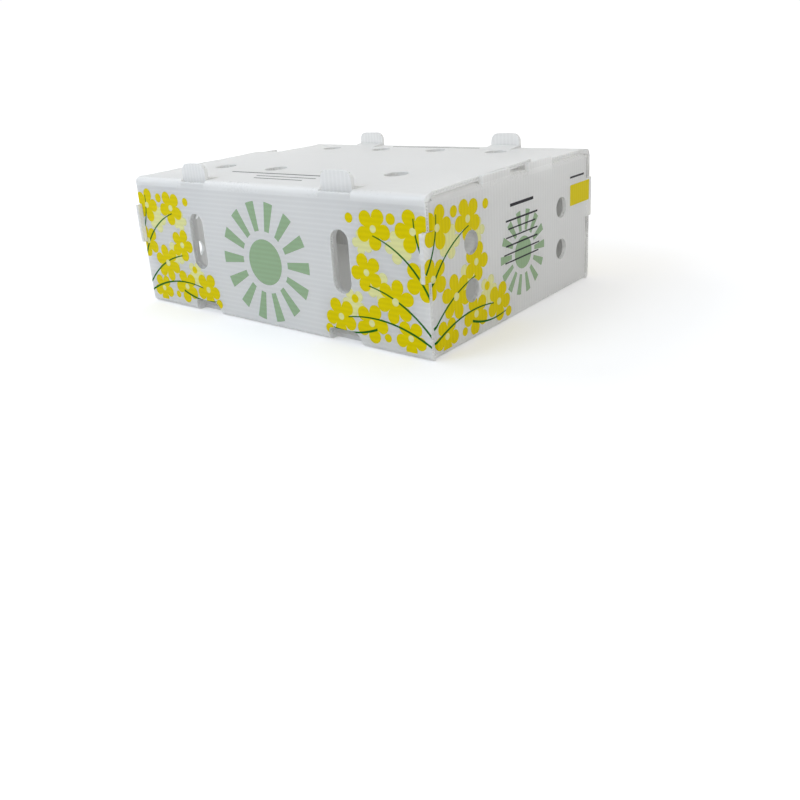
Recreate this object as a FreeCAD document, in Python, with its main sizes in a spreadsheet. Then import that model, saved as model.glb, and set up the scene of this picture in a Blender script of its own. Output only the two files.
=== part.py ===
import FreeCAD, Part
import os
import re

from FreeCAD import Rotation, Vector

# A stacking box folded from one die-cut sheet of white fluted plastic.
# The front top flap turns on its own fold, so it is a piece of its own.
# X runs along the long walls, the front wall faces -Y and +Z is up.
# The origin is the middle of the underside.

os.makedirs("parts", exist_ok=True)
doc = FreeCAD.newDocument("StackingBox")

# Driving sizes in millimetres, one cell each
SIZES = {
    "length": 400.0,
    "width": 300.0,
    "height": 144.0,
    "sheet": 4.0,
    "layer_gap": 0.4,
    "fold_radius": 5.0,
    "lid_fold_radius": 6.0,
    "corner_flap_length": 130.0,
    "ledge_depth": 45.0,
    "ledge_end_gap": 7.6,
    "front_flap_reach": 180.0,
    "rear_flap_reach": 133.0,
    "lid_end_gap": 0.5,
    "lap_gap": 0.3,
    "hinge_gap": 0.5,
    "stack_tab_width": 37.0,
    "stack_tab_height": 16.0,
    "stack_tab_radius": 9.0,
    "stack_tab_inset": 100.0,
    "tab_slit": 1.0,
    "tongue_reach": 30.0,
    "tongue_lift": 3.0,
    "swing_gap": 0.8,
    "notch_side_play": 2.0,
    "notch_height": 13.0,
    "notch_radius": 4.0,
    "notch_sweep": 11.0,
    "notch_play": 3.0,
    "hand_slot_inset": 98.0,
    "hand_slot_width": 22.0,
    "hand_slot_length": 60.0,
    "hand_slot_level": 78.5,
    "hook_level": 71.0,
    "hook_height": 42.0,
    "hook_reach": 5.0,
    "end_tab_width": 47.0,
    "end_tab_spacing": 34.0,
    "end_tab_rise": 2.5,
    "end_vent_size": 22.0,
    "end_vent_spread": 85.0,
    "end_vent_level": 47.5,
    "end_vent_pitch": 44.0,
    "lid_vent_size": 24.0,
    "lid_vent_first": 136.0,
    "lid_vent_pitch": 82.0,
    "front_vent_inset": 78.0,
    "rear_vent_inset": 45.0,
}
LID_VENT_COUNT = 4
END_VENT_ROWS = 2

size_sheet = doc.addObject("Spreadsheet::Sheet", "Sizes")
for row, (alias, value) in enumerate(SIZES.items(), start=1):
    size_sheet.set(f"A{row}", alias)
    size_sheet.set(f"B{row}", str(value))
    size_sheet.setAlias(f"B{row}", alias)
doc.recompute()

# Levels, places and spans that follow from the driving sizes
LID_LENGTH = "(length - 2 * sheet - 2 * lid_end_gap)"
LID_FOLD_Y = "(width / 2 - lid_fold_radius)"
LID_FOLD_LEVEL = "(height - lid_fold_radius)"
LEDGE_TOP = "(height - sheet - layer_gap)"
LEDGE_FOLD_LEVEL = "(height - sheet - layer_gap - fold_radius)"
LEDGE_SPAN = "(width - 2 * sheet - 2 * ledge_end_gap)"
END_FOLD_X = "(length / 2 - fold_radius)"
FOOT_SPAN = "(width - 2 * fold_radius - 2 * layer_gap)"
WALL_INSIDE = "(width / 2 - sheet)"
LAYER_OUTSIDE = "(width / 2 - sheet - layer_gap)"
LAYER_INSIDE = "(width / 2 - 2 * sheet - layer_gap)"
CORNER_FOLD_Y = "(width / 2 - sheet - layer_gap - fold_radius)"
CORNER_BOTTOM = "(fold_radius + 3 * layer_gap)"
CORNER_TOP = "(height - lid_fold_radius - hinge_gap)"
TAB_X = "(length / 2 - stack_tab_inset)"
TAB_LOW_X = f"({TAB_X} - stack_tab_width / 2)"
TAB_HIGH_X = f"({TAB_X} + stack_tab_width / 2)"

# The flap's swing clears the tab's far corner, measured from the outer skin at the fold
TAB_SWING = "sqrt((2 * sheet + layer_gap) ^ 2 + (stack_tab_height + lid_fold_radius + hinge_gap) ^ 2)"

# A cylinder's own axis turned to each axis of the box
AXIS_TURN = {
    "X": Rotation(Vector(0, 1, 0), Vector(0, 0, 1), Vector(1, 0, 0), "ZXY"),
    "Y": Rotation(Vector(0, 0, 1), Vector(1, 0, 0), Vector(0, 1, 0), "ZXY"),
    "Z": Rotation(),
}
SIDES = {"Front": -1, "Rear": 1}
ENDS = {"Left": -1, "Right": 1}


def cells(formula):
    """Points each size named in the formula at its cell."""
    return re.sub(r"[a-z_]+", lambda word: ("Sizes." if word.group() in SIZES else "") + word.group(), formula)


def bind(thing, **formulas):
    """Binds properties to formulas of the sheet, with x, y and z as the place."""
    for key, formula in formulas.items():
        path = ".Placement.Base." + key if key in ("x", "y", "z") else key
        thing.setExpression(path, cells(formula))


def span(name, x_ends, y_ends, z_ends):
    """A box between two ends on each axis."""
    thing = doc.addObject("Part::Box", name)
    for side, ends in zip(("Length", "Width", "Height"), (x_ends, y_ends, z_ends)):
        bind(thing, **{side: f"({ends[1]}) - ({ends[0]})"})
    bind(thing, x=x_ends[0], y=y_ends[0], z=z_ends[0])
    return thing


def rod(name, axis, centre, length, radius, start=0, angle=360):
    """A cylinder, or a wedge of one, along an axis and about a centre."""
    thing = doc.addObject("Part::Cylinder", name)
    thing.Angle = angle
    thing.Placement.Rotation = AXIS_TURN[axis].multiply(Rotation(Vector(0, 0, 1), start))
    bind(thing, Radius=radius, Height=length)
    places = dict(zip("xyz", centre))
    places[axis.lower()] += f" - ({length}) / 2"
    bind(thing, **places)
    return thing


def cut(name, base, tool):
    """The base less the tool."""
    thing = doc.addObject("Part::Cut", name)
    thing.Base = base
    thing.Tool = tool
    return thing


def fuse(name, things):
    """One shape of all the things, its coplanar faces merged."""
    thing = doc.addObject("Part::MultiFuse", name)
    thing.Shapes = things
    thing.Refine = True
    return thing


def fold(name, axis, centre, length, radius, start):
    """A quarter bend of the sheet round an axis, from the start angle on.

    The inner cylinder's seam is turned away from the bend, so that it meets none of its edges.
    """
    outer = rod(name + "Outer", axis, centre, length, radius, start, 90)
    inner = rod(name + "Inner", axis, centre, f"{length} + 2 * sheet", f"{radius} - sheet", start + 225)
    return cut(name, outer, inner)


def mirrored(sign, near, far):
    """Two distances from the middle as the ends of a span on one side of it."""
    return (near, far) if sign > 0 else (f"-({far})", f"-({near})")


def both_ways(reach):
    """A span centred on the middle."""
    return (f"-({reach})", reach)


def long_wall(side, sign):
    """A long wall and its fold to the base."""
    top = LID_FOLD_LEVEL if side == "Rear" else CORNER_TOP
    wall = span(side + "Wall", both_ways("length / 2"), mirrored(sign, WALL_INSIDE, "width / 2"),
                ("fold_radius", top))
    foot = fold(side + "FootFold", "X", ("0", f"{sign} * (width / 2 - fold_radius)", "fold_radius"),
                "length", "fold_radius", 270 if sign > 0 else 180)
    return [wall, foot]


def end_wall(end, sign):
    """An end wall, its fold to the base, and the ledge folded in at its top."""
    thickness = mirrored(sign, "length / 2 - sheet", "length / 2")
    wall = span(end + "Wall", thickness, both_ways(CORNER_FOLD_Y), ("fold_radius", LEDGE_FOLD_LEVEL))
    foot = span(end + "WallFoot", thickness, both_ways(FOOT_SPAN + " / 2"), ("fold_radius", CORNER_BOTTOM))
    foot_fold = fold(end + "FootFold", "Y", (f"{sign} * {END_FOLD_X}", "0", "fold_radius"),
                     FOOT_SPAN, "fold_radius", 90 if sign > 0 else 180)
    ledge_fold = fold(end + "LedgeFold", "Y", (f"{sign} * {END_FOLD_X}", "0", LEDGE_FOLD_LEVEL),
                      LEDGE_SPAN, "fold_radius", 0 if sign > 0 else 270)
    ledge = span(end + "Ledge", mirrored(sign, "length / 2 - ledge_depth", END_FOLD_X),
                 both_ways(LEDGE_SPAN + " / 2"), (f"{LEDGE_TOP} - sheet", LEDGE_TOP))
    shoulders = [span(f"{end}{side}Shoulder", thickness,
                      mirrored(way, LEDGE_SPAN + " / 2 + layer_gap", CORNER_FOLD_Y),
                      (LEDGE_FOLD_LEVEL, CORNER_TOP))
                 for side, way in SIDES.items()]
    return [wall, foot, foot_fold, ledge_fold, ledge] + shoulders


def corner_flap(end, sign, side, way):
    """The end wall's side flap, folded in flat behind the long wall."""
    start = {(1, 1): 0, (-1, 1): 90, (-1, -1): 180, (1, -1): 270}[(sign, way)]
    bend = fold(f"{end}{side}CornerFold", "Z",
                (f"{sign} * {END_FOLD_X}", f"{way} * {CORNER_FOLD_Y}", f"({CORNER_BOTTOM} + {CORNER_TOP}) / 2"),
                f"({CORNER_TOP} - {CORNER_BOTTOM})", "fold_radius", start)
    flap = span(f"{end}{side}CornerFlap", mirrored(sign, "length / 2 - corner_flap_length", END_FOLD_X),
                mirrored(way, LAYER_INSIDE, LAYER_OUTSIDE), (CORNER_BOTTOM, CORNER_TOP))
    return [bend, flap]


def rear_flap():
    """The rear top flap and its fold to the rear wall."""
    bend = fold("RearLidFold", "X", ("0", LID_FOLD_Y, LID_FOLD_LEVEL), LID_LENGTH, "lid_fold_radius", 0)
    flap = span("RearFlapPlate", both_ways(LID_LENGTH + " / 2"), ("width / 2 - rear_flap_reach", LID_FOLD_Y),
                ("height - sheet", "height"))
    return [bend, flap]


def hand_slot(end, sign):
    """A tall slot with round ends, through both long walls and the flaps behind them."""
    middle = f"{sign} * (length / 2 - hand_slot_inset)"
    reach = "width + 2 * sheet"
    half = "(hand_slot_length - hand_slot_width) / 2"
    straight = span(end + "HandSlot", (f"{middle} - hand_slot_width / 2", f"{middle} + hand_slot_width / 2"),
                    both_ways(f"({reach}) / 2"), (f"hand_slot_level - {half}", f"hand_slot_level + {half}"))
    caps = [rod(f"{end}HandSlot{cap}", "Y", (middle, "0", f"hand_slot_level {mark} {half}"), reach,
                "hand_slot_width / 2")
            for cap, mark in (("Foot", "-"), ("Head", "+"))]
    return [straight] + caps


def stacking_notch(end, sign, side, way):
    """The notch in the bottom edge that takes a stacking tab, deeper in the flap behind the wall."""
    name = f"{end}{side}Notch"
    low_x = f"({sign} * {TAB_X} - stack_tab_width / 2 - notch_side_play)"
    high_x = f"({sign} * {TAB_X} + stack_tab_width / 2 + notch_side_play)"
    depth = mirrored(way, "width / 2 - 2 * sheet - notch_play", "width / 2 + sheet")
    middle_y = f"{way} * (width / 2 - (sheet + notch_play) / 2)"
    through = "3 * sheet + notch_play"
    low = "-sheet"
    parts = [
        span(name + "Middle", (low_x + " + notch_radius", high_x + " - notch_sweep"), depth, (low, "notch_height")),
        span(name + "Narrow", (low_x, low_x + " + notch_radius"), depth, (low, "notch_height - notch_radius")),
        span(name + "Wide", (high_x + " - notch_sweep", high_x), depth, (low, "notch_height - notch_sweep")),
        rod(name + "Corner", "Y", (low_x + " + notch_radius", middle_y, "notch_height - notch_radius"), through,
            "notch_radius"),
        rod(name + "Sweep", "Y", (high_x + " - notch_sweep", middle_y, "notch_height - notch_sweep"), through,
            "notch_sweep"),
        span(name + "Pocket", mirrored(sign, f"{TAB_LOW_X} - notch_play", f"{TAB_HIGH_X} + notch_play"),
             mirrored(way, "width / 2 - 2 * sheet - notch_play", WALL_INSIDE),
             (f"{CORNER_BOTTOM} - layer_gap", "stack_tab_height + notch_play")),
    ]
    return parts


def hook_window(end, sign, side, way):
    """The gap that the hook leaves in the corner flap, and its notch in the long wall's end."""
    level = ("hook_level - layer_gap", "hook_level + hook_height + layer_gap")
    hook_root = f"{CORNER_FOLD_Y} - layer_gap"
    hook_length = "(fold_radius + sheet + layer_gap + hook_reach)"
    window = span(f"{end}{side}HookWindow", mirrored(sign, f"length / 2 - {hook_length}", "length / 2 + sheet"),
                  mirrored(way, hook_root, WALL_INSIDE), level)
    wall_notch = span(f"{end}{side}HookNotch",
                      mirrored(sign, "length / 2 - sheet - layer_gap", "length / 2 + sheet"),
                      mirrored(way, hook_root, "width / 2 + sheet"), level)
    return [window, wall_notch]


def hook(end, sign, side, way):
    """A tab of the end wall that stays flat and stands out past the long wall."""
    return span(f"{end}{side}Hook", mirrored(sign, "length / 2 - sheet", "length / 2"),
                mirrored(way, f"{CORNER_FOLD_Y} - sheet", "width / 2 + hook_reach"),
                ("hook_level", "hook_level + hook_height"))


def end_tab_window(end, sign, side, way):
    """The gap in the ledge that an upright end tab leaves."""
    return span(f"{end}{side}EndTabWindow",
                mirrored(sign, f"length / 2 - (height + end_tab_rise - {LEDGE_FOLD_LEVEL})", "length / 2 + sheet"),
                mirrored(way, "end_tab_spacing / 2 - layer_gap",
                         "end_tab_spacing / 2 + end_tab_width + layer_gap"),
                (LEDGE_FOLD_LEVEL, "height"))


def end_tab(end, sign, side, way):
    """A tab that stays upright in the end wall's own plane."""
    return span(f"{end}{side}EndTab", mirrored(sign, "length / 2 - sheet", "length / 2"),
                mirrored(way, "end_tab_spacing / 2", "end_tab_spacing / 2 + end_tab_width"),
                (f"{LEDGE_FOLD_LEVEL} - sheet", "height + end_tab_rise"))


def end_vents():
    """Round vents, straight through both end walls."""
    return [rod(f"EndVent{side}{row}", "X",
                ("0", f"{way} * end_vent_spread", f"end_vent_level + {row} * end_vent_pitch"),
                "length + 2 * sheet", "end_vent_size / 2")
            for side, way in SIDES.items() for row in range(END_VENT_ROWS)]


def lid_vents(name, place):
    """A row of round vents through a top flap."""
    return [rod(f"{name}Vent{index}", "Z",
                (f"{index} * lid_vent_pitch - lid_vent_first", place, "height - sheet / 2"),
                "3 * sheet", "lid_vent_size / 2")
            for index in range(LID_VENT_COUNT)]


def lid_slot(name, sign, way, reach):
    """The opening in a top flap and its fold that a stacking tab stands in."""
    return span(name, mirrored(sign, f"{TAB_LOW_X} - tab_slit", f"{TAB_HIGH_X} + tab_slit"),
                mirrored(way, f"width / 2 - ({reach})", "width / 2 + sheet"),
                (f"{LID_FOLD_LEVEL} - hinge_gap", "height + sheet"))


def stacking_tab(end, sign, side, way):
    """A tab of the corner flap that stands up through the top, its two top corners round."""
    name = f"{end}{side}Tab"
    low_x, high_x = mirrored(sign, TAB_LOW_X, TAB_HIGH_X)
    depth = mirrored(way, LAYER_INSIDE, LAYER_OUTSIDE)
    middle_y = f"{way} * ({LAYER_INSIDE} + {LAYER_OUTSIDE}) / 2"
    shoulder = "height + stack_tab_height - stack_tab_radius"
    return [
        span(name + "Broad", (low_x, high_x), depth, (f"{CORNER_TOP} - sheet", shoulder)),
        span(name + "Slim", (low_x + " + stack_tab_radius", high_x + " - stack_tab_radius"), depth,
             (f"{CORNER_TOP} - sheet", "height + stack_tab_height")),
        rod(name + "LowRound", "Y", (low_x + " + stack_tab_radius", middle_y, shoulder), "sheet", "stack_tab_radius"),
        rod(name + "HighRound", "Y", (high_x + " - stack_tab_radius", middle_y, shoulder), "sheet",
            "stack_tab_radius"),
    ]


def rear_tongue(end, sign):
    """The lanced tongue that leans up against the inner face of a rear stacking tab."""
    reach = "(tongue_reach - 2 * sheet - 2 * layer_gap)"
    low_x, high_x = mirrored(sign, TAB_LOW_X, TAB_HIGH_X)
    thing = doc.addObject("Part::Box", end + "Tongue")
    thing.Placement.Rotation = Rotation(Vector(1, 0, 0), 1)
    bind(thing, Length="stack_tab_width", Width=reach, Height="sheet", x=low_x,
         y="width / 2 - tongue_reach", z="height - sheet")
    bind(thing, **{".Placement.Rotation.Angle": f"asin(tongue_lift / {reach})"})
    return thing


def box_sheet():
    """The whole sheet with the front top flap left off."""
    corners = [(end, sign, side, way) for end, sign in ENDS.items() for side, way in SIDES.items()]
    pieces = [span("Base", both_ways(END_FOLD_X), both_ways("width / 2 - fold_radius"), ("0", "sheet"))]
    for side, way in SIDES.items():
        pieces += long_wall(side, way)
    for end, sign in ENDS.items():
        pieces += end_wall(end, sign)
    for corner in corners:
        pieces += corner_flap(*corner)
    pieces += rear_flap()

    openings = end_vents() + lid_vents("Rear", "width / 2 - rear_vent_inset")
    for end, sign in ENDS.items():
        openings += hand_slot(end, sign)
        openings.append(lid_slot(end + "RearSlot", sign, 1, "tongue_reach"))
    for corner in corners:
        openings += stacking_notch(*corner)
        openings += hook_window(*corner)
        openings.append(end_tab_window(*corner))

    upright = []
    for corner in corners:
        upright.append(hook(*corner))
        upright.append(end_tab(*corner))
        upright += stacking_tab(*corner)
    upright += [rear_tongue(end, sign) for end, sign in ENDS.items()]

    folded = fuse("FoldedSheet", pieces)
    opened = cut("OpenedSheet", folded, fuse("SheetOpenings", openings))
    return fuse("BoxSheet", [opened] + upright)


def front_flap():
    """The front top flap and its fold, tilted up so that its edge laps the rear flap."""
    bend = fold("FrontLidFold", "X", ("0", f"-{LID_FOLD_Y}", LID_FOLD_LEVEL), LID_LENGTH, "lid_fold_radius", 90)
    plate = span("FrontFlapPlate", both_ways(LID_LENGTH + " / 2"),
                 (f"-{LID_FOLD_Y}", "front_flap_reach - width / 2"), ("height - sheet", "height"))
    openings = lid_vents("Front", "front_vent_inset - width / 2")
    openings += [lid_slot(end + "FrontSlot", sign, -1, f"{TAB_SWING} + swing_gap") for end, sign in ENDS.items()]
    flat = fuse("FlatFrontFlap", [bend, plate])
    flap = cut("FrontFlap", flat, fuse("FlapOpenings", openings))
    lift = "atan((sheet + lap_gap) / (width - rear_flap_reach - lid_fold_radius))"
    flap.Placement.Rotation = Rotation(Vector(1, 0, 0), 1)
    bind(flap, y=f"-{LID_FOLD_Y} * (1 - cos({lift})) + {LID_FOLD_LEVEL} * sin({lift})",
         z=f"{LID_FOLD_LEVEL} * (1 - cos({lift})) + {LID_FOLD_Y} * sin({lift})")
    bind(flap, **{".Placement.Rotation.Angle": lift})
    return flap


nodes = {"box_sheet": box_sheet(), "front_top_flap": front_flap()}
for label, node in nodes.items():
    node.Label = label
doc.recompute()

for thing in doc.Objects:
    if "Invalid" in thing.State or "Error" in thing.State:
        raise RuntimeError(f"{thing.Name} failed: {thing.State}")
for label, node in nodes.items():
    if node.Shape.isNull() or not node.Shape.isValid():
        raise RuntimeError(f"{label} has no valid shape")
    solids = node.Shape.Solids
    print(label, "solids", len(solids), "volume", round(node.Shape.Volume), node.Shape.BoundBox)
    node.Shape.exportStep(f"parts/{label}.step")
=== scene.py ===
import math

import bmesh
import bpy
import numpy as np
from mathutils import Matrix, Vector


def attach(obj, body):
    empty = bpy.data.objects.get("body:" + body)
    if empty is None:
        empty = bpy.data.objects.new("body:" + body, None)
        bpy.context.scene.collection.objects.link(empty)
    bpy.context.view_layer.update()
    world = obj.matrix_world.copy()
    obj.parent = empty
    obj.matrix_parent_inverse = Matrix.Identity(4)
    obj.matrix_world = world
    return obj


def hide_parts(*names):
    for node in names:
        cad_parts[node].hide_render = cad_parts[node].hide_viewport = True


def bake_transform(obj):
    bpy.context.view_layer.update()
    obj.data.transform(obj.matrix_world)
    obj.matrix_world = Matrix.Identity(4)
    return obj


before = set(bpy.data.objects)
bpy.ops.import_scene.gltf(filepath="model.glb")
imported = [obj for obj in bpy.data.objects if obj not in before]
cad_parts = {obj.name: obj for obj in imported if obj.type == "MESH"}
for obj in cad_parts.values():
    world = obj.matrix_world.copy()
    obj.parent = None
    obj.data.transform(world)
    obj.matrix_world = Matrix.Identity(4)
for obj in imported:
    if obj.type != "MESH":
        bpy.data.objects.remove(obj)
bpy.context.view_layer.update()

# The folded sheet
# One die-cut sheet of white fluted polypropylene makes the base, the walls, the corner flaps with the
# stacking tabs, the ledges and the rear top flap. It is extruded as two skins with webs between them, so
# that cuts across the webs show rows of open cells. Only its folds and hooks hold it.

MM = 0.001
HALF_LENGTH = 200.0
HALF_WIDTH = 150.0
HEIGHT = 144.0
SHEET = 4.0
LAYER_GAP = 0.4
FOLD_RADIUS = 5.0
WALL_TOP = 137.5
RIBS_ACROSS = 62
RIB_PITCH = 2 * HALF_WIDTH / RIBS_ACROSS
CELL_PITCH = RIB_PITCH / 2
WEB = 0.95
SKIN = 1.0
CELL_DEPTH = 1.5
GRAZE = 0.5
OVERLAP = 0.3
WHITE = (0.93, 0.93, 0.92)
LET_THROUGH = 0.42
PAINTED_GLOW_STRENGTH = 0.12
GRAIN = (6.0, 190.0, 190.0)
SHARP_EDGE = math.radians(28)


class Field:
    """A value that varies over a surface: a node's output, on which Python's operators add Math nodes."""

    def __init__(self, tree, output=None):
        self.tree = tree
        self.output = output

    def node(self, kind, settings=None, values=None, output=0):
        """Any node: its settings are set first, then its sockets' numbers, colours or links."""
        made = self.tree.nodes.new(kind)
        for name, setting in (settings or {}).items():
            setattr(made, name, setting)
        for name, value in (values or {}).items():
            if isinstance(value, Field):
                self.tree.links.new(value.output, made.inputs[name])
            else:
                made.inputs[name].default_value = value
        return Field(self.tree, made.outputs[output] if len(made.outputs) else None)

    def maths(self, operation, *operands):
        return self.node("ShaderNodeMath", {"operation": operation}, dict(enumerate(operands)))

    def __add__(self, other):
        return self.maths("ADD", self, other)

    def __sub__(self, other):
        return self.maths("SUBTRACT", self, other)

    def __rsub__(self, other):
        return self.maths("SUBTRACT", other, self)

    def __mul__(self, other):
        return self.maths("MULTIPLY", self, other)

    def __truediv__(self, other):
        return self.maths("DIVIDE", self, other)

    def __pow__(self, other):
        return self.maths("POWER", self, other)

    def __neg__(self):
        return self.maths("MULTIPLY", self, -1.0)

    def __abs__(self):
        return self.maths("ABSOLUTE", self)

    def __gt__(self, other):
        return self.maths("GREATER_THAN", self, other)

    def __lt__(self, other):
        return self.maths("LESS_THAN", self, other)

    __radd__ = __add__
    __rmul__ = __mul__

    def cos(self):
        return self.maths("COSINE", self)

    def angle(self, across):
        """The angle whose sine goes with this value and whose cosine goes with the other."""
        return self.maths("ARCTAN2", self, across)

    def hypot(self, other):
        return (self * self + other * other) ** 0.5

    def least(self, other):
        return self.maths("MINIMUM", self, other)

    def most(self, other):
        return self.maths("MAXIMUM", self, other)

    def clamp(self):
        return self.node("ShaderNodeClamp", values={"Value": self})

    def choose(self, there, elsewhere):
        """One number where this mask is 1 and another where it is 0."""
        return self * there + (1 - self) * elsewhere

    def noise(self, place, scale, detail=3.0):
        """Clouded noise about zero, of a given scale per metre."""
        return self.node("ShaderNodeTexNoise", {"noise_dimensions": "3D"},
                         {"Vector": place, "Scale": scale, "Detail": detail}) - 0.5

    def axes(self):
        """Where a surface point is, in millimetres along each axis, and the place itself."""
        place = self.node("ShaderNodeTexCoord", output="Object")
        parts = self.node("ShaderNodeSeparateXYZ", values={"Vector": place}).output.node
        return place, *(Field(self.tree, parts.outputs[axis]) * (1 / MM) for axis in "XYZ")

    def to_eye(self):
        """1 for rays that reach the camera straight, off something glossy or through something clear."""
        rays = self.node("ShaderNodeLightPath").output.node.outputs
        straight, glossy, through = (Field(self.tree, rays[f"Is {kind} Ray"])
                                     for kind in ("Camera", "Glossy", "Transmission"))
        return straight.most(glossy).most(through)


def new_tree(owner):
    """The emptied node tree of a material or a world."""
    owner.use_nodes = True
    owner.node_tree.nodes.clear()
    return Field(owner.node_tree)


def sheet_material(name, across, crease_and_highlight_mask, covered=None):
    """White fluted sheet. The skins dip between the webs by a cosine of the distance across them, less so
    where a crease has pressed them flat. The creases are painted paler, partly for the whitening of bent
    polypropylene and partly as a painted highlight along the folds. Faint clouds, streaks along the grain
    and fine scuffs vary the tone, the height and the gloss. A part of the light goes through, which halves
    the gloss, so that is set high. Where a flap covers the sheet, a faint painted glow stands in for the
    light that the flap lets through."""
    material = bpy.data.materials.new(name)
    root = new_tree(material)
    place, x, y, z = root.axes()
    far = across(x, y, z)
    crease_and_highlight = crease_and_highlight_mask(x, y, z)
    broad = (far * (2 * math.pi / RIB_PITCH)).cos() * (1 - 0.8 * crease_and_highlight)
    fine = (far * (2 * math.pi / CELL_PITCH)).cos() * (1 - 0.8 * crease_and_highlight)
    clouds = root.noise(place, 9.0)
    streaks = root.noise(root.node("ShaderNodeMapping", values={"Vector": place, "Scale": GRAIN}), 1.0, 5.0)
    scuffs = root.noise(place, 420.0, 6.0)
    # Creases are painted paler: partly the whitening of bent sheet, partly a painted highlight along the
    # folds.
    shade = 0.98 + 0.023 * broad + 0.006 * fine + 0.03 * clouds + 0.03 * streaks + 0.04 * crease_and_highlight
    tone = root.node("ShaderNodeVectorMath", {"operation": "SCALE"}, {0: WHITE, "Scale": shade})
    height = 0.017 * broad + 0.004 * fine + 0.012 * scuffs + 0.25 * clouds + 0.04 * streaks
    relief = root.node("ShaderNodeBump", values={"Strength": 1.0, "Distance": MM, "Height": height})
    gloss = 0.40 + 0.14 * clouds + 0.10 * scuffs - 0.12 * crease_and_highlight
    painted_glow = {}
    # A faint painted glow on the ledge tops under the flaps stands in for the light the flaps let through.
    if covered:
        where = covered(x, y, z)
        painted_glow["Emission Strength"] = PAINTED_GLOW_STRENGTH
        painted_glow["Emission Color"] = root.node("ShaderNodeVectorMath", {"operation": "SCALE"},
                                             {0: WHITE, "Scale": where})
    surface = root.node("ShaderNodeBsdfPrincipled", values={
        "Base Color": tone, "Roughness": gloss, "Normal": relief, "IOR": 1.49, "Specular IOR Level": 0.75,
        **painted_glow})
    glow = root.node("ShaderNodeBsdfTranslucent", values={"Color": tone, "Normal": relief})
    both = root.node("ShaderNodeMixShader", values={0: LET_THROUGH, 1: surface, 2: glow})
    root.node("ShaderNodeOutputMaterial", values={"Surface": both})
    return material


def across_sheet(x, y, z):
    """The distance across the webs anywhere on the folded sheet. It runs up the long walls and on over
    the base and the top, along y on the end walls, and along x on the corner flaps and stacking tabs."""
    wide = abs(y)
    layer = LAYER_OUTSIDE
    long_way = (z < HEIGHT / 2).choose(z + wide, z - wide)
    at_end = (abs(x) > HALF_LENGTH - FOLD_RADIUS + 0.2) * (wide < layer + 0.1)
    behind = (wide > layer - SHEET - 0.3) * (wide < layer + 0.2) * (abs(x) < HALF_LENGTH - FOLD_RADIUS + 0.2)
    covered = (z > WALL_TOP + 0.1) * (z < HEIGHT + 0.2) * (abs(abs(x) - TAB_X) > TAB_HALF + 0.5)
    behind = behind * (1 - covered) * (z > FOLD_RADIUS + 0.6)
    folded = long_way * (1 - at_end) + wide * at_end
    return folded * (1 - behind) + abs(x) * behind


def sheet_creases_and_highlights(x, y, z):
    """1 in the folds along the foot, the upright corners, the rear top edge and the ledges. The sheet is
    painted paler there: partly the whitening of bent sheet, partly a painted highlight along the folds.
    """
    wide = abs(y)
    foot = (z < FOLD_RADIUS) * ((wide > HALF_WIDTH - FOLD_RADIUS) + (abs(x) > HALF_LENGTH - FOLD_RADIUS))
    corner = (abs(x) > HALF_LENGTH - FOLD_RADIUS) * (wide > CORNER_FOLD_Y) * (wide < HALF_WIDTH - SHEET)
    top = (z > WALL_TOP) * (y > HALF_WIDTH - FOLD_RADIUS - 1.0)
    ledge = (z > LEDGE_TOP - FOLD_RADIUS) * (z < LEDGE_TOP + 0.1) * (abs(x) > HALF_LENGTH - FOLD_RADIUS)
    return (foot + corner + top + ledge).clamp()


def under_flaps(x, y, z):
    """1 on the top of the ledges, which the top flaps cover; a faint painted glow lights them there."""
    return (abs(z - LEDGE_TOP) < 0.2) * (abs(x) > LEDGE_X)


def mesh_piece(name, places, faces):
    """A mesh object at the origin from places in millimetres and an array or a list of faces."""
    mesh = bpy.data.meshes.new(name)
    mesh.from_pydata((np.asarray(places) * MM).tolist(), [], list(map(list, faces)))
    mesh.update()
    piece = bpy.data.objects.new(name, mesh)
    bpy.context.scene.collection.objects.link(piece)
    return piece


def blocks(lows, highs):
    """The places and the faces of closed blocks, one for each row of low and high corners."""
    lows, highs = np.asarray(lows, float), np.asarray(highs, float)
    pick = np.array([[i & 1, i >> 1 & 1, i >> 2 & 1] for i in range(8)])
    places = np.where(pick[None] == 1, highs[:, None], lows[:, None]).reshape(-1, 3)
    block = np.array([[0, 2, 3, 1], [4, 5, 7, 6], [0, 1, 5, 4], [2, 6, 7, 3], [0, 4, 6, 2], [1, 3, 7, 5]])
    faces = (block[None] + 8 * np.arange(len(lows))[:, None, None]).reshape(-1, 4)
    return places, faces


def rows(low, high):
    """The two sides of each whole cell that lies between two distances across the webs."""
    start = np.arange(math.ceil(low / CELL_PITCH), math.floor(high / CELL_PITCH)) * CELL_PITCH
    return start + WEB / 2, start + CELL_PITCH - WEB / 2


def spans(x_ends, y_ends, z_ends):
    """Low and high corners from two ends on each axis, each a number or an array."""
    lows = np.broadcast_arrays(x_ends[0], y_ends[0], z_ends[0])
    highs = np.broadcast_arrays(x_ends[1], y_ends[1], z_ends[1])
    return np.stack(lows, -1).reshape(-1, 3), np.stack(highs, -1).reshape(-1, 3)


def on_side(sign, near, far):
    """Two distances from the middle as the ends of a span on one side of it."""
    return (near, far) if sign > 0 else (-far, -near)


def round_half(level, middle, radius):
    """Half the width of a circle at each level, 0 outside it."""
    return np.sqrt(np.maximum(radius ** 2 - (level - middle) ** 2, 0.0))


def rounds(x_middle, width_ends, middle, radius, thickness):
    """Cells cut open round a vent in a level flap, in every row that meets its circle."""
    half = round_half((width_ends[0] + width_ends[1]) / 2, middle, radius)
    met = half > GRAZE
    return spans((x_middle - half[met] - CELL_DEPTH, x_middle + half[met] + CELL_DEPTH),
                 (width_ends[0][met], width_ends[1][met]), thickness)


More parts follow.
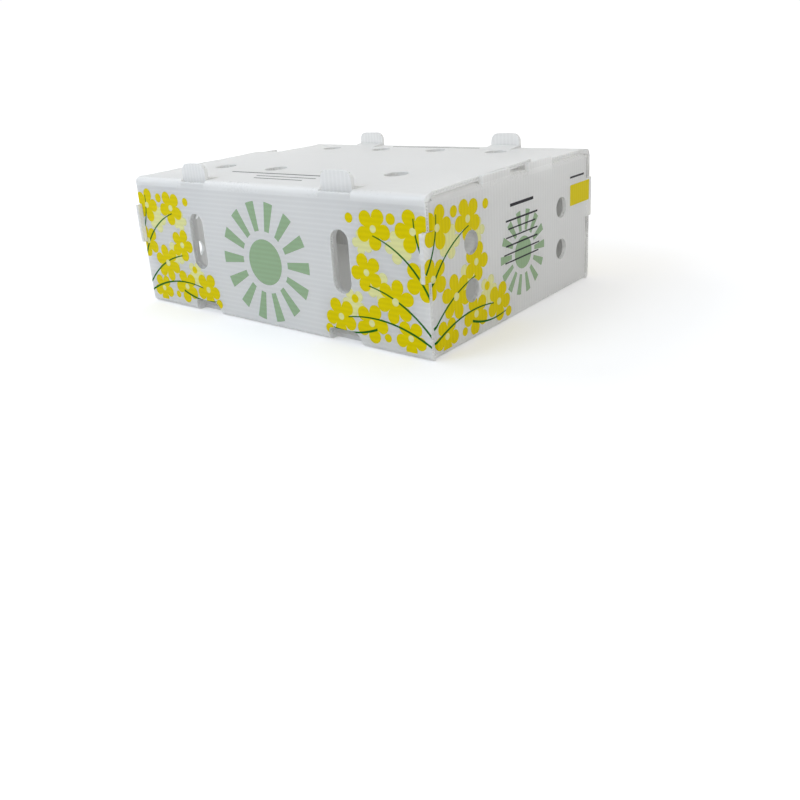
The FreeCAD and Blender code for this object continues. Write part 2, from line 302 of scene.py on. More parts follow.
def merged(node):
    """A node's places and triangles. Doubled corners are merged, so that each place is listed once, to a
    tenth of a micron, and the triangles point at that list."""
    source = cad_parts[node].data
    places = np.empty(len(source.vertices) * 3)
    source.vertices.foreach_get("co", places)
    corners = np.empty(len(source.loops), int)
    source.loops.foreach_get("vertex_index", corners)
    kept, renamed = np.unique(np.round(places.reshape(-1, 3) / MM, 4), axis=0, return_inverse=True)
    return kept, renamed.ravel()[corners].reshape(-1, 3)


def open_cells(node, name, groups, placed=None):
    """A merged copy of a node's mesh with the open cells cut into its edges."""
    piece = mesh_piece(name, *merged(node))
    cell_places, cell_faces = blocks(*[np.concatenate(side) for side in zip(*groups)])
    cells = mesh_piece(name + "_cells", placed(cell_places) if placed else cell_places, cell_faces)
    cut = piece.modifiers.new("Cells", "BOOLEAN")
    cut.operation = "DIFFERENCE"
    cut.solver = "MANIFOLD"
    cut.object = cells
    shaped = bpy.data.meshes.new_from_object(piece.evaluated_get(bpy.context.evaluated_depsgraph_get()))
    shaped.materials.clear()
    piece.modifiers.clear()
    piece.data = shaped
    bpy.data.objects.remove(cells)
    shaped.polygons.foreach_set("use_smooth", np.ones(len(shaped.polygons), bool))
    shaped.set_sharp_from_angle(angle=SHARP_EDGE)
    return piece


TAB_X, TAB_HALF, TAB_RISE, TAB_RADIUS = 100.0, 18.5, 16.0, 9.0
TAB_SLIT = 1.0
PAST_TAB_ROUND = 3.0
TAB_SLOT_NEAR, TAB_SLOT_FAR = TAB_X - TAB_HALF - TAB_SLIT, TAB_X + TAB_HALF + TAB_SLIT
NOTCH_HALF, NOTCH_HEIGHT, NOTCH_SWEEP = 20.5, 13.0, 11.0
SLOT_X, SLOT_HALF, SLOT_LEVEL, SLOT_STRAIGHT = 102.0, 11.0, 78.5, 19.0
HOOK_LOW, HOOK_HIGH, HOOK_END = 71.0, 113.0, 155.0
LAYER_OUTSIDE = HALF_WIDTH - SHEET - LAYER_GAP
CORNER_FOLD_Y = LAYER_OUTSIDE - FOLD_RADIUS
CORNER_FLAP_X = 70.0
LEDGE_X, LEDGE_TOP, LEDGE_HALF = 155.0, 139.6, 134.0
END_TAB_NEAR, END_TAB_FAR, END_TAB_TOP = 17.0, 64.0, 146.5
END_VENT_Y, END_VENT_LEVELS, END_VENT_RADIUS = 85.0, (47.5, 91.5), 11.0
LID_HALF = 195.5
REAR_LID_EDGE, REAR_CELLS_END, REAR_SLOT_EDGE = 17.0, 143.5, 120.0
LID_VENT_XS = (-136.0, -54.0, 28.0, 110.0)
LID_VENT_RADIUS, REAR_VENT_Y = 12.0, 105.0
ENDS = SIDES = (-1, 1)


def top_flap_cells(side_rows, slot_rows, vent_y):
    """Cells of a level top flap, along its sides and its tab slots and round its vents."""
    lid = (HEIGHT - SHEET + SKIN, HEIGHT - SKIN)
    cells = []
    for end in ENDS:
        side = on_side(end, LID_HALF - CELL_DEPTH, LID_HALF + OVERLAP)
        slot_near = on_side(end, TAB_SLOT_NEAR - CELL_DEPTH, TAB_SLOT_NEAR + OVERLAP)
        slot_far = on_side(end, TAB_SLOT_FAR - OVERLAP, TAB_SLOT_FAR + CELL_DEPTH)
        cells.append(spans(side, side_rows, lid))
        cells.append(spans(slot_near, slot_rows, lid))
        cells.append(spans(slot_far, slot_rows, lid))
    for vent_x in LID_VENT_XS:
        cells.append(rounds(vent_x, side_rows, vent_y, LID_VENT_RADIUS, lid))
    return cells


groups = []
level_low, level_high = rows(FOLD_RADIUS, WALL_TOP)
level = (level_low + level_high) / 2
by_hook = (level_high > HOOK_LOW - LAYER_GAP) & (level_low < HOOK_HIGH + LAYER_GAP)
edge = np.where(by_hook, HALF_LENGTH - SHEET - LAYER_GAP, HALF_LENGTH)
beyond = np.maximum(np.abs(level - SLOT_LEVEL) - SLOT_STRAIGHT, 0.0)
slot_half = round_half(beyond, 0.0, SLOT_HALF)
in_slot = slot_half > GRAZE
slot_half = slot_half[in_slot] + CELL_DEPTH
in_notch = level < NOTCH_HEIGHT - 0.3
sweep = round_half(np.maximum(level[in_notch] - (NOTCH_HEIGHT - NOTCH_SWEEP), 0.0), 0.0, NOTCH_SWEEP)
for side in SIDES:
    wall = on_side(side, HALF_WIDTH - SHEET + SKIN, HALF_WIDTH - SKIN)
    for end in ENDS:
        groups.append(spans(on_side(end, edge - CELL_DEPTH, edge + OVERLAP), wall, (level_low, level_high)))
        groups.append(spans((end * SLOT_X - slot_half, end * SLOT_X + slot_half), wall,
                            (level_low[in_slot], level_high[in_slot])))
        groups.append(spans((end * TAB_X - NOTCH_HALF - CELL_DEPTH,
                             end * TAB_X + NOTCH_HALF - NOTCH_SWEEP + sweep + CELL_DEPTH), wall,
                            (level_low[in_notch], level_high[in_notch])))

groups += top_flap_cells(rows(REAR_LID_EDGE + 1.0, REAR_CELLS_END), rows(REAR_SLOT_EDGE, REAR_CELLS_END),
                         REAR_VENT_Y)

tab_low, tab_high = rows(TAB_X - TAB_HALF, TAB_X + TAB_HALF)
into_round = np.maximum(np.abs((tab_low + tab_high) / 2 - TAB_X) - (TAB_HALF - TAB_RADIUS), 0.0)
tab_top = HEIGHT + TAB_RISE - TAB_RADIUS + round_half(into_round, 0.0, TAB_RADIUS)
for end in ENDS:
    wall = on_side(end, HALF_LENGTH - SHEET + SKIN, HALF_LENGTH - SKIN)
    ledge = on_side(end, LEDGE_X - OVERLAP, LEDGE_X + CELL_DEPTH)
    for side in SIDES:
        tab_rows = on_side(side, *rows(END_TAB_NEAR, END_TAB_FAR))
        shoulder_rows = on_side(side, *rows(LEDGE_HALF + LAYER_GAP, CORNER_FOLD_Y))
        hook_rows = on_side(side, *rows(CORNER_FOLD_Y, HOOK_END))
        ledge_rows = on_side(side, *rows(-0.1, LEDGE_HALF - 1.0))
        groups.append(spans(wall, tab_rows, (END_TAB_TOP - CELL_DEPTH, END_TAB_TOP + OVERLAP)))
        groups.append(spans(wall, shoulder_rows, (WALL_TOP - CELL_DEPTH, WALL_TOP + OVERLAP)))
        groups.append(spans(ledge, ledge_rows, (LEDGE_TOP - SHEET + SKIN, LEDGE_TOP - SKIN)))
        groups.append(spans(wall, hook_rows, (HOOK_HIGH - CELL_DEPTH, HOOK_HIGH + OVERLAP)))
        groups.append(spans(wall, hook_rows, (HOOK_LOW - OVERLAP, HOOK_LOW + CELL_DEPTH)))
        near, far = rows(END_VENT_Y - END_VENT_RADIUS, END_VENT_Y + END_VENT_RADIUS)
        half = round_half((near + far) / 2, END_VENT_Y, END_VENT_RADIUS) + CELL_DEPTH
        for vent_level in END_VENT_LEVELS:
            groups.append(spans(wall, on_side(side, near, far), (vent_level - half, vent_level + half)))
        flap = on_side(side, LAYER_OUTSIDE - SHEET + SKIN, LAYER_OUTSIDE - SKIN)
        groups.append(spans(on_side(end, tab_low, tab_high), flap,
                            (tab_top - CELL_DEPTH, tab_top + PAST_TAB_ROUND)))
        beside_tab = ((CORNER_FLAP_X + 0.5, TAB_X - TAB_HALF), (TAB_X + TAB_HALF, HALF_LENGTH - FOLD_RADIUS))
        for near, far in beside_tab:
            groups.append(spans(on_side(end, *rows(near, far)), flap,
                                (WALL_TOP - CELL_DEPTH, WALL_TOP + OVERLAP)))

box = open_cells("box_sheet", "folded_sheet", groups)
box.data.materials.append(sheet_material("white_fluted_sheet", across_sheet, sheet_creases_and_highlights, under_flaps))
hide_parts("box_sheet")
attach(box, "box")

# The lips at the tab slots
# Where a stacking tab stands, the long wall isn't folded over. Its cut edge stands up in front of the
# tab, level with the middle of the fold beside it.

LIP_TOP, LIP_ROOT, LIP_ROUNDING = 141.4, 1.5, 0.8
LIP_INSET, LIP_END_GAP = 0.03, 0.05
lip_ends = (TAB_SLOT_NEAR + LIP_END_GAP, TAB_SLOT_FAR - LIP_END_GAP)
lip_depth = (HALF_WIDTH - SHEET + LIP_INSET, HALF_WIDTH - LIP_INSET)
lip_spans = [spans(on_side(end, *lip_ends), on_side(side, *lip_depth), (WALL_TOP - LIP_ROOT, LIP_TOP))
             for end in ENDS for side in SIDES]
lips = mesh_piece("wall_lips", *blocks(*[np.concatenate(part) for part in zip(*lip_spans)]))
rounding = lips.modifiers.new("Rounding", "BEVEL")
rounding.width = LIP_ROUNDING * MM
rounding.segments = 3
# The top millimetre of each lip is handled as a crease, so it is painted paler and glossier: a painted
# highlight along its top, in line with the fold beside it.
lips.data.materials.append(sheet_material("white_cut_lips", across_sheet, lambda x, y, z: z > LIP_TOP - 1.0))
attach(lips, "box")

# The front top flap
# The front part of the same sheet turns on its fold along the front wall. It lies on the rear flap's
# edge, so it slopes up a little, and two wide slots let the stacking tabs pass as it opens.

LID_FOLD_RADIUS = 6.0
FOLD_Y, FOLD_Z = LID_FOLD_RADIUS - HALF_WIDTH, HEIGHT - LID_FOLD_RADIUS
SLOPE = math.atan((SHEET + 0.3) / (REAR_LID_EDGE - FOLD_Y))
FRONT_LID_EDGE, FRONT_VENT_Y, FRONT_SLOT_EDGE = 30.0, -72.0, -125.2


def onto_flap(places):
    """Turns places of a level flap up by the laid flap's slope, about the middle of its fold."""
    y, z = places[:, 1] - FOLD_Y, places[:, 2] - FOLD_Z
    return np.stack([places[:, 0], FOLD_Y + y * math.cos(SLOPE) - z * math.sin(SLOPE),
                     FOLD_Z + y * math.sin(SLOPE) + z * math.cos(SLOPE)], -1)


groups = top_flap_cells(rows(FOLD_Y, FRONT_LID_EDGE), rows(FOLD_Y, FRONT_SLOT_EDGE), FRONT_VENT_Y)

flap = open_cells("front_top_flap", "front_flap", groups, onto_flap)
# The flap's fold is handled as a crease and painted paler: partly the whitening of bent sheet, partly a
# painted highlight along the front fold.
flap.data.materials.append(sheet_material("white_fluted_flap", lambda x, y, z: z - y,
                                          lambda x, y, z: y < FOLD_Y))
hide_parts("front_top_flap")
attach(flap, "front_flap")

# The front tongues
# Two tongues lanced from the front flap fill its slots behind the stacking tabs. They are hinged at the
# slot's far edge and bend up a little where they press against the tabs.

TONGUE_LIFT = 2.2
TONGUE_TIP_GAP = 0.3
TONGUE_TIP = -HALF_WIDTH + 2 * SHEET + LAYER_GAP + TONGUE_TIP_GAP
TONGUE_STEPS = 14
TONGUE_INSET = 0.03
TONGUE_HALF = TAB_HALF + 0.55

reach = np.linspace(0.0, 1.0, TONGUE_STEPS)
tongue_y = FRONT_SLOT_EDGE - 0.02 + reach * (TONGUE_TIP - FRONT_SLOT_EDGE)
tongue_top = HEIGHT - TONGUE_INSET + TONGUE_LIFT * reach ** 2
outline = np.concatenate([np.stack([tongue_y, tongue_top], -1),
                          np.stack([tongue_y, tongue_top - SHEET + 2 * TONGUE_INSET], -1)[::-1]])
for end, side_name in zip(ENDS, ("left", "right")):
    # The outline of y and level is carried from one side of the slot to the other
    across = (end * TAB_X - TONGUE_HALF, end * TAB_X + TONGUE_HALF)
    places = np.concatenate([np.column_stack([np.full(len(outline), x), outline]) for x in across])
    count = len(outline)
    ring = np.arange(count)
    after = (ring + 1) % count
    quads = np.stack([ring, ring + count, after + count, after], -1)
    faces = quads.tolist() + [ring.tolist(), (ring[::-1] + count).tolist()]
    tongue = mesh_piece(side_name + "_front_tongue", onto_flap(places), faces)
    tongue.data.set_sharp_from_angle(angle=SHARP_EDGE)
    tongue.data.materials.append(flap.data.materials[0])
    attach(tongue, "front_flap")

# The ends of the top folds
# Both top folds run out to the ends of the long walls, a little past the flaps, and taper in to the
# flaps' sides. They are part of the one sheet, pressed shut at the corners, and the front ones turn with
# the front flap.

FOLD_END, TAPER_END_Y = 199.5, -134.0
BEND_STEPS, TAPER_STEPS = 8, 3
PRESSED_RADIUS = 0.2
SIDE_OVERLAP = 0.1

# The outer and the under face go round the bend and on along the taper, as one rectangle at each station
bend = np.linspace(0.0, math.pi / 2, BEND_STEPS + 1)
over = np.linspace(FOLD_Y, TAPER_END_Y, TAPER_STEPS + 1)[1:]
path_y = np.concatenate([FOLD_Y - LID_FOLD_RADIUS * np.cos(bend), over])
path_z = np.concatenate([FOLD_Z + LID_FOLD_RADIUS * np.sin(bend), np.full(TAPER_STEPS, HEIGHT)])
under_y = np.concatenate([FOLD_Y - PRESSED_RADIUS * np.cos(bend), over])
under_z = np.concatenate([FOLD_Z + PRESSED_RADIUS * np.sin(bend),
                          np.interp(over, path_y[[BEND_STEPS, -1]], [FOLD_Z, HEIGHT - SHEET])])
far_x = np.interp(path_y, [FOLD_Y, TAPER_END_Y], [FOLD_END, LID_HALF + SIDE_OVERLAP])
near_x = np.full(len(path_y), LID_HALF - SIDE_OVERLAP)
stations = np.stack([
    np.column_stack([near_x, path_y, path_z]),
    np.column_stack([far_x, path_y, path_z]),
    np.column_stack([far_x, under_y, under_z]),
    np.column_stack([near_x, under_y, under_z]),
], 1)
station = 4 * np.arange(len(path_y) - 1)[:, None]
ring = np.arange(4)
after = (ring + 1) % 4
strips = np.stack([station + ring, station + after, station + 4 + after, station + 4 + ring], -1)
end_faces = np.concatenate([strips.reshape(-1, 4), [ring, ring + 4 * (len(path_y) - 1)]])
for side, side_name, body in ((-1, "front", "front_flap"), (1, "rear", "box")):
    for end, end_name in zip(ENDS, ("left", "right")):
        places = stations.reshape(-1, 3) * np.array([end, 1.0, 1.0])
        places = onto_flap(places) if side < 0 else places * np.array([1.0, -1.0, 1.0])
        fold_end = mesh_piece(f"{end_name}_{side_name}_fold_end", places, end_faces)
        closed = bmesh.new()
        closed.from_mesh(fold_end.data)
        bmesh.ops.recalc_face_normals(closed, faces=closed.faces)
        closed.to_mesh(fold_end.data)
        closed.free()
        fold_end.data.polygons.foreach_set("use_smooth", np.ones(len(end_faces), bool))
        fold_end.data.set_sharp_from_angle(angle=SHARP_EDGE)
        fold_end.data.materials.append(flap.data.materials[0])
        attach(fold_end, body)

# The fold line
# The crease joins the front wall to its flap, so a strip of the outer skin runs over the gap that lets the
# flap's solid turn. It bends with the fold.

CREASE_LOW, CREASE_HIGH = WALL_TOP - 2.5, WALL_TOP + 3.4
CREASE_STEPS = 12
CREASE_OUT = 0.05

crease_levels = np.linspace(CREASE_LOW, CREASE_HIGH, CREASE_STEPS + 1)
round_in = LID_FOLD_RADIUS - np.sqrt(LID_FOLD_RADIUS ** 2 - np.maximum(crease_levels - FOLD_Z, 0.0) ** 2)
crease_y = -HALF_WIDTH - CREASE_OUT + round_in
count = len(crease_levels)
strip_ends = (-FOLD_END, -TAB_SLOT_FAR, -TAB_SLOT_NEAR, TAB_SLOT_NEAR, TAB_SLOT_FAR, FOLD_END)
strip_places = np.concatenate([
    np.column_stack([np.full(count, x), crease_y, crease_levels]) for x in strip_ends])
first = (2 * count * np.arange(len(strip_ends) // 2)[:, None] + np.arange(count - 1)).ravel()
strip_faces = np.stack([first, first + count, first + count + 1, first + 1], -1)
crease_and_highlight = mesh_piece("fold_line", strip_places, strip_faces)
crease_and_highlight.data.polygons.foreach_set("use_smooth", np.ones(len(crease_and_highlight.data.polygons), bool))
crease_and_highlight.data.materials.append(flap.data.materials[0])
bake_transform(crease_and_highlight)

# The print
# Opaque inks are laid on the flat sheet before it is cut, so a like layout is on all four walls and runs
# round the corners: sprays of blossoms with pale ones behind, a pale sun, ruled lines and a blank label.
# Each wall's print is a film a twentieth of a millimetre out, clear where there is no ink.

YELLOW = (0.77, 0.63, 0.0)
PALE_YELLOW = (0.80, 0.79, 0.36)
SAGE = (0.34, 0.48, 0.29)
STEM_GREEN = (0.010, 0.14, 0.010)
DARK_INK = (0.035, 0.035, 0.04)
FILM_GAP = 0.05
INK_EDGE = 0.12

# A Mix node's colour sockets share their names with its other kinds, so they are picked by their numbers
MIX_FACTOR, MIX_BELOW, MIX_ABOVE, MIX_RESULT = 0, 6, 7, 2

# Blossoms are the distance from the box's corner, the level, the radius, the petals and the turn
PALE_BLOSSOMS = ((86, 42, 14, 5, 0.4), (54, 60, 15, 5, 1.2), (30, 98, 15, 5, 0.2), (70, 99, 12, 5, 0.1))
BLOSSOMS = ((103, 26, 19, 5, 0.5), (66, 25, 19, 5, 1.3), (68, 72, 18, 5, 0.2), (37, 49, 21, 6, 0.9),
            (57, 112, 19, 5, 1.1), (14, 113, 19, 5, 0.0), (6, 72, 19, 5, 1.4), (22, 18, 17, 5, 0.8))
BUDS = ((119, 12, 5.0), (37, 122, 5.0), (84, 120, 4.5), (48, 14, 4.0), (84, 46, 4.0))
# A stem runs from one place to another and bows to its side
STEMS = (((-3, 12), (94, 27), -9), ((-3, 20), (66, 60), -7), ((-3, 52), (58, 106), -9),
         ((-3, 78), (13, 124), 4), ((60, 20), (114, 14), 4))
SUN_RAYS = 14
LONG_SUN_LEVEL, LONG_SUN_RADIUS = 67.0, 61.0
END_SUN_Y, END_SUN_LEVEL, END_SUN_RADIUS = 6.0, 62.0, 42.0
# The sprays of the end walls are drawn a little wider and taller, and start lower
END_SPRAY_ACROSS, END_SPRAY_UP, END_SPRAY_DROP = 0.94, 0.97, 2.0
# A ruled line of the end walls is its level and half its width and height
RULES_Y = 4.0
RULES = ((112, 22, 1.5), (98, 30, 0.9), (90, 26, 0.7), (82, 30, 0.7), (74, 30, 0.8), (66, 34, 0.7),
         (58, 32, 0.7))
LABEL_Y, LABEL_LEVEL, LABEL_HALF_WIDTH, LABEL_HALF_HEIGHT, LABEL_ROUNDING = 127.0, 100.0, 22.5, 11.0, 1.5
LABEL_RULE_Y, LABEL_RULE_LEVEL = 120.0, 119.0
# A ruled line of the top flaps is its middle and half its width and depth
FLAP_RULES = ((-29, -98, 66, 1.4), (0, -111, 42, 1.0), (0, -122, 34, 1.0))
REAR_FLAP_RULES = ((8, 131, 64, 1.5),)


def blossom(across, up, radius, petals, turn):
    """Distances to a blossom and its eye: its outline's radius swells and shrinks once for each petal."""
    out = across.hypot(up)
    swell = abs((up.angle(across) * (petals / 2) + turn).cos()) ** 0.5
    return out - (radius * 0.46 + (radius * 0.54) * swell), out - radius * 0.17


def stem(d, z, start, finish, bow):
    """Distance to a stem: a parabola over the line between its two ends, thinner towards its tip."""
    run, rise = finish[0] - start[0], finish[1] - start[1]
    long = math.hypot(run, rise)
    along = (d - start[0]) * (run / long) + (z - start[1]) * (rise / long)
    aside = (z - start[1]) * (run / long) - (d - start[0]) * (rise / long)
    curve = along * (long - along) * (-4 * bow / long ** 2)
    thin = abs(aside - curve) - (1.1 - 0.6 * along / long)
    return thin.most(-along).most(along - long)


def united(distances):
    """The distance to the nearest of several shapes."""
    nearest = distances[0]
    for distance in distances[1:]:
        nearest = nearest.least(distance)
    return nearest


def sprays(d, z):
    """Layers of a spray of blossoms, each a colour and the distance to its ink."""
    pale = [blossom(d - a, z - b, *shape)[0] for a, b, *shape in PALE_BLOSSOMS]
    full = [blossom(d - a, z - b, *shape) for a, b, *shape in BLOSSOMS]
    buds = [(d - a).hypot(z - b) - radius for a, b, radius in BUDS]
    return [(PALE_YELLOW, united(pale)), (YELLOW, united([shape for shape, eye in full] + buds)),
            (STEM_GREEN, united([stem(d, z, *line) for line in STEMS])),
            (PALE_YELLOW, united([eye for shape, eye in full]))]


def sun(across, up, size):
    """The sun's ink: a disc, and rays where the cosine of the angle times their number is high."""
    out = across.hypot(up)
    ray = (0.2 - (up.angle(across) * SUN_RAYS).cos()) * out * (1.0 / SUN_RAYS)
    ray = ray.most(out - size).most(size * 0.52 - out)
    return (SAGE, ray.least(out - size * 0.38))


def bar(across, up, half_width, half_height, rounding=0.3):
    """Distance to a bar with rounded corners."""
    over = (abs(across) - (half_width - rounding)).most(0.0)
    above = (abs(up) - (half_height - rounding)).most(0.0)
    return over.hypot(above) - rounding


def long_wall_print(x, y, z):
    """The sun in the middle of a long wall, with a spray from each of its ends."""
    return [sun(x, z - LONG_SUN_LEVEL, LONG_SUN_RADIUS)] + sprays(HALF_LENGTH - abs(x), z)


def end_wall_print(x, y, z, way):
    """A spray from one corner of an end wall, a small sun under ruled lines, and a label with one line."""
    far = y * way
    lines = [bar(far - RULES_Y, z - level, half, thick) for level, half, thick in RULES]
    lines.append(bar(far - LABEL_RULE_Y, z - LABEL_RULE_LEVEL, 16.0, 1.0))
    label = bar(far - LABEL_Y, z - LABEL_LEVEL, LABEL_HALF_WIDTH, LABEL_HALF_HEIGHT, LABEL_ROUNDING)
    small_sun = sun(far - END_SUN_Y, z - END_SUN_LEVEL, END_SUN_RADIUS)
    spray = sprays((far + HALF_WIDTH) * END_SPRAY_ACROSS, z * END_SPRAY_UP + END_SPRAY_DROP)
    return [small_sun, *spray, (DARK_INK, united(lines)), (YELLOW, label)]


def ink_material(name, layers, across):
    """Layers of ink, each over the last, on a clear film. The ink follows the sheet's ribs. Its edge is
    hardly soft, because a film that is half clear would shade the white below it."""
    material = bpy.data.materials.new(name)
    root = new_tree(material)
    place, x, y, z = root.axes()
    colour, cover = None, None
    for paint, distance in layers(x, y, z):
        mask = (0.5 - distance / INK_EDGE).clamp()
        if cover is None:
            colour, cover = (*paint, 1.0), mask
            continue
        wider = (1.5 - distance / INK_EDGE).clamp()
        colour = root.node("ShaderNodeMix", {"data_type": "RGBA"},
                           {MIX_FACTOR: wider, MIX_BELOW: colour, MIX_ABOVE: (*paint, 1.0)}, MIX_RESULT)
        cover = cover.most(mask)
    ribs = (across(x, y, z) * (2 * math.pi / RIB_PITCH)).cos()
    wear = root.noise(place, 260.0, 5.0)
    clouds = root.noise(place, 14.0)
    tone = root.node("ShaderNodeVectorMath", {"operation": "SCALE"},
                     {0: colour if isinstance(colour, Field) else colour[:3],
                      "Scale": 1.0 + 0.035 * ribs + 0.06 * clouds + 0.05 * wear})
    relief = root.node("ShaderNodeBump",
                       values={"Strength": 1.0, "Distance": MM, "Height": 0.034 * ribs + 0.02 * wear})
    surface = root.node("ShaderNodeBsdfPrincipled", values={
        "Base Color": tone, "Roughness": 0.36 + 0.12 * wear + 0.1 * clouds, "Normal": relief, "Alpha": cover,
        "IOR": 1.49, "Specular IOR Level": 0.04})
    root.node("ShaderNodeOutputMaterial", values={"Surface": surface})
    return material


def film(name, node, body, outward):
    """Some outer faces of a node as a film of their own. outward gives, for all places at once, the way out
    of each, or none for a place that isn't on those faces."""
    places, faces = merged(node)
    ways = outward(places)
    on_wall = np.linalg.norm(ways, axis=1) > 0.5
    middles = places[faces].mean(axis=1)
    across_end, off_middle, level = np.abs(middles[:, 1]), np.abs(middles[:, 0]), middles[:, 2]
    off_hook = (level < HOOK_LOW - 0.2) | (level > HOOK_HIGH + 0.2)
    butt_edge = (across_end > HALF_WIDTH - SHEET - 0.3) & (off_middle > HALF_LENGTH - 0.01) & off_hook
    faces = faces[on_wall[faces].all(axis=1) & ~butt_edge]
    used, renamed = np.unique(faces, return_inverse=True)
    piece = mesh_piece(name, places[used] + ways[used] * FILM_GAP, renamed.reshape(-1, 3))
    piece.data.polygons.foreach_set("use_smooth", np.ones(len(piece.data.polygons), bool))
    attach(piece, body)
    return piece


def off_long_wall(places, side):
    """Straight out of a long wall."""
    on_plane = (np.abs(places[:, 1] - side * HALF_WIDTH) < 0.01) & (places[:, 2] > FOLD_RADIUS - 0.1)
    return on_plane[:, None] * np.array([0.0, side, 0.0])


def off_end_wall(places, end):
    """Straight out of an end wall, and out from the middle of its folds at both corners."""
    x, y = places[:, 0] * end, places[:, 1]
    on_plane = (np.abs(x - HALF_LENGTH) < 0.01) & (places[:, 2] > FOLD_RADIUS - 0.1)
    past_fold = (np.abs(y) - CORNER_FOLD_Y) * np.sign(y)
    out = np.stack([x - HALF_LENGTH + FOLD_RADIUS, past_fold], -1) / FOLD_RADIUS
    on_fold = (np.abs(np.hypot(out[:, 0], out[:, 1]) - 1.0) < 0.01) & (out[:, 0] > -0.01) & (
        np.abs(y) > CORNER_FOLD_Y - 0.01) & ~on_plane
    way = on_plane[:, None] * np.array([1.0, 0.0]) + on_fold[:, None] * out
    return np.column_stack([way[:, 0] * end, way[:, 1], np.zeros(len(way))])


for side, side_name in zip(SIDES, ("front", "rear")):
    printed = film(side_name + "_print", "box_sheet", "box", lambda places: off_long_wall(places, side))
    printed.data.materials.append(ink_material(side_name + "_ink", long_wall_print,
                                               lambda x, y, z: z + HALF_WIDTH))

for end, end_name in zip(ENDS, ("left", "right")):
    printed = film(end_name + "_print", "box_sheet", "box", lambda places: off_end_wall(places, end))
    printed.data.materials.append(ink_material(
        end_name + "_ink", lambda x, y, z: end_wall_print(x, y, z, end), lambda x, y, z: abs(y)))


def off_flap(places):
    """Straight out of the front flap's top, which slopes about the middle of its fold."""
    out = np.array([0.0, -math.sin(SLOPE), math.cos(SLOPE)])
    height = (places - np.array([0.0, FOLD_Y, FOLD_Z])) @ out
    return ((np.abs(height - LID_FOLD_RADIUS) < 0.01) & (places[:, 1] > FOLD_Y - 0.2))[:, None] * out


def flap_print(x, y, z):
    """Ruled lines between the front flap's vents and its fold."""
    return [(DARK_INK, united([bar(x - a, y - b, half, thick) for a, b, half, thick in FLAP_RULES]))]


printed = film("flap_print", "front_top_flap", "front_flap", off_flap)
printed.data.materials.append(ink_material("flap_ink", flap_print, lambda x, y, z: -y))


def off_rear_flap(places):
    """Straight up from the rear flap's top."""
    return (np.abs(places[:, 2] - HEIGHT) < 0.01)[:, None] * np.array([0.0, 0.0, 1.0])


def rear_flap_print(x, y, z):
    """A ruled line between the rear stacking tabs."""
    return [(DARK_INK, united([bar(x - a, y - b, half, thick) for a, b, half, thick in REAR_FLAP_RULES]))]


printed = film("rear_flap_print", "box_sheet", "box", off_rear_flap)
printed.data.materials.append(ink_material("rear_flap_ink", rear_flap_print, lambda x, y, z: y))

# The studio
# A plain pale floor under soft, even light. The camera stands where the photograph's camera stood.

FLOOR_REACH, FLOOR_DEPTH, FLOOR_GAP = 6000.0, 8.0, 0.05
OUTSKIRTS_NEAR, OUTSKIRTS_WIDE = 350.0, 1300.0

floor = mesh_piece("floor", *blocks([(-FLOOR_REACH, -FLOOR_REACH, -FLOOR_DEPTH)],
                                    [(FLOOR_REACH, FLOOR_REACH, -FLOOR_GAP)]))
paper = bpy.data.materials.new("pale_paper")
root = new_tree(paper)
place, x, y, z = root.axes()
outskirts = ((x.hypot(y) - OUTSKIRTS_NEAR) / OUTSKIRTS_WIDE).clamp()
matt = root.node("ShaderNodeBsdfDiffuse", values={"Color": (0.80, 0.80, 0.80, 1.0)})
lift = root.node("ShaderNodeEmission", values={"Strength": root.to_eye() * (0.30 + 0.50 * outskirts)})
lifted = root.node("ShaderNodeAddShader", values={0: matt, 1: lift})
root.node("ShaderNodeOutputMaterial", values={"Surface": lifted})
floor.data.materials.append(paper)

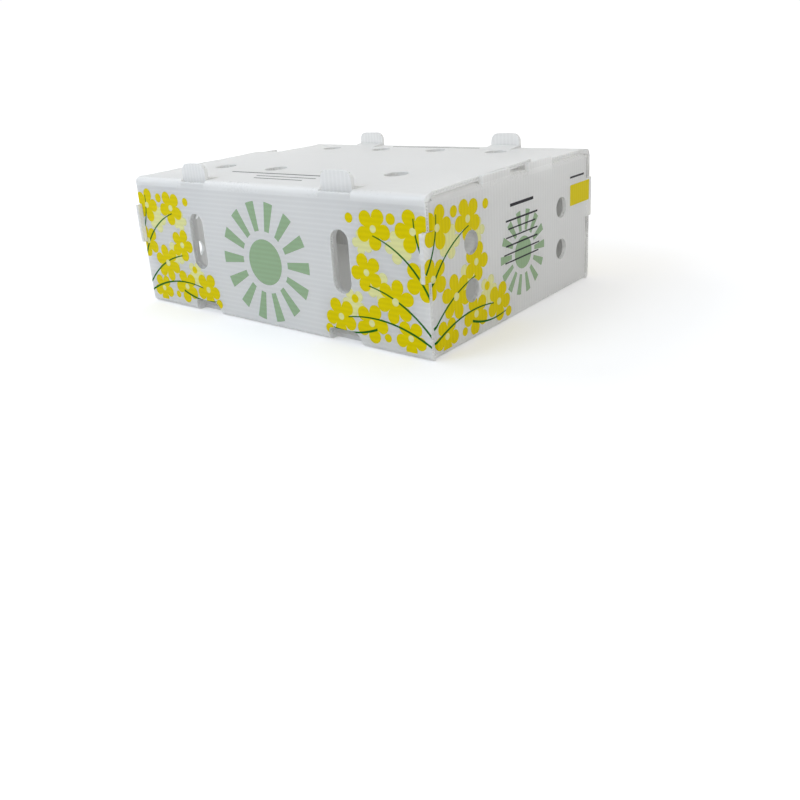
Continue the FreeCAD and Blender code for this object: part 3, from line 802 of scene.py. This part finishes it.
world = bpy.data.worlds.new("studio")
bpy.context.scene.world = world
root = new_tree(world)
sky = root.node("ShaderNodeBackground",
                values={"Color": (1.0, 1.0, 1.0, 1.0), "Strength": 0.50 + 0.52 * root.to_eye()})
root.node("ShaderNodeOutputWorld", values={"Surface": sky})

# A lamp's place and width in metres, its power in watts and its colour
LIGHTS = {
    "overhead": ((-0.4, 0.5, 1.9), 1.6, 9.6, (1.0, 0.98, 0.94)),
    "left": ((-1.78, -0.49, 1.70), 0.7, 7.0, (1.0, 1.0, 1.0)),
    "front": ((-0.9, -1.7, 1.7), 1.2, 19.0, (0.66, 0.80, 1.0)),
    "right": ((2.0, -0.3, 1.3), 1.2, 6.0, (1.0, 1.0, 0.99)),
}
for name, (place, size, power, colour) in LIGHTS.items():
    lamp = bpy.data.lights.new(name, "AREA")
    lamp.size = size
    lamp.energy = power
    lamp.color = colour
    holder = bpy.data.objects.new(name, lamp)
    bpy.context.scene.collection.objects.link(holder)
    holder.location = place
    holder.rotation_mode = "QUATERNION"
    towards_box = Vector((0.0, 0.0, HEIGHT / 2 * MM)) - Vector(place)
    holder.rotation_quaternion = towards_box.to_track_quat("-Z", "Y")

PICTURE_WIDTH = 800.0
FOCAL_PIXELS = 782.3
MIDDLE_RIGHT, MIDDLE_UP = 15.0, -70.0
camera = bpy.data.objects.new("camera", bpy.data.cameras.new("camera"))
bpy.context.scene.collection.objects.link(camera)
camera.data.sensor_width = 36.0
camera.data.lens = FOCAL_PIXELS / PICTURE_WIDTH * camera.data.sensor_width
camera.data.shift_x = MIDDLE_RIGHT / PICTURE_WIDTH
camera.data.shift_y = MIDDLE_UP / PICTURE_WIDTH
# The camera's place and its two directions come from the box's corners in the photo
CAMERA_PLACE = (0.5755, -0.6512, 0.2489)
forward = np.array([-0.6126, 0.7196, -0.3269])
right = np.array([0.7744, 0.6293, -0.0661])
forward /= np.linalg.norm(forward)
right -= forward * (right @ forward)
right /= np.linalg.norm(right)
turn = np.eye(4)
turn[:3, 0], turn[:3, 1], turn[:3, 2] = right, np.cross(right, forward), -forward
turn[:3, 3] = CAMERA_PLACE
camera.matrix_world = turn.T.tolist()
bpy.context.scene.camera = camera
bpy.context.scene.view_settings.view_transform = "Standard"
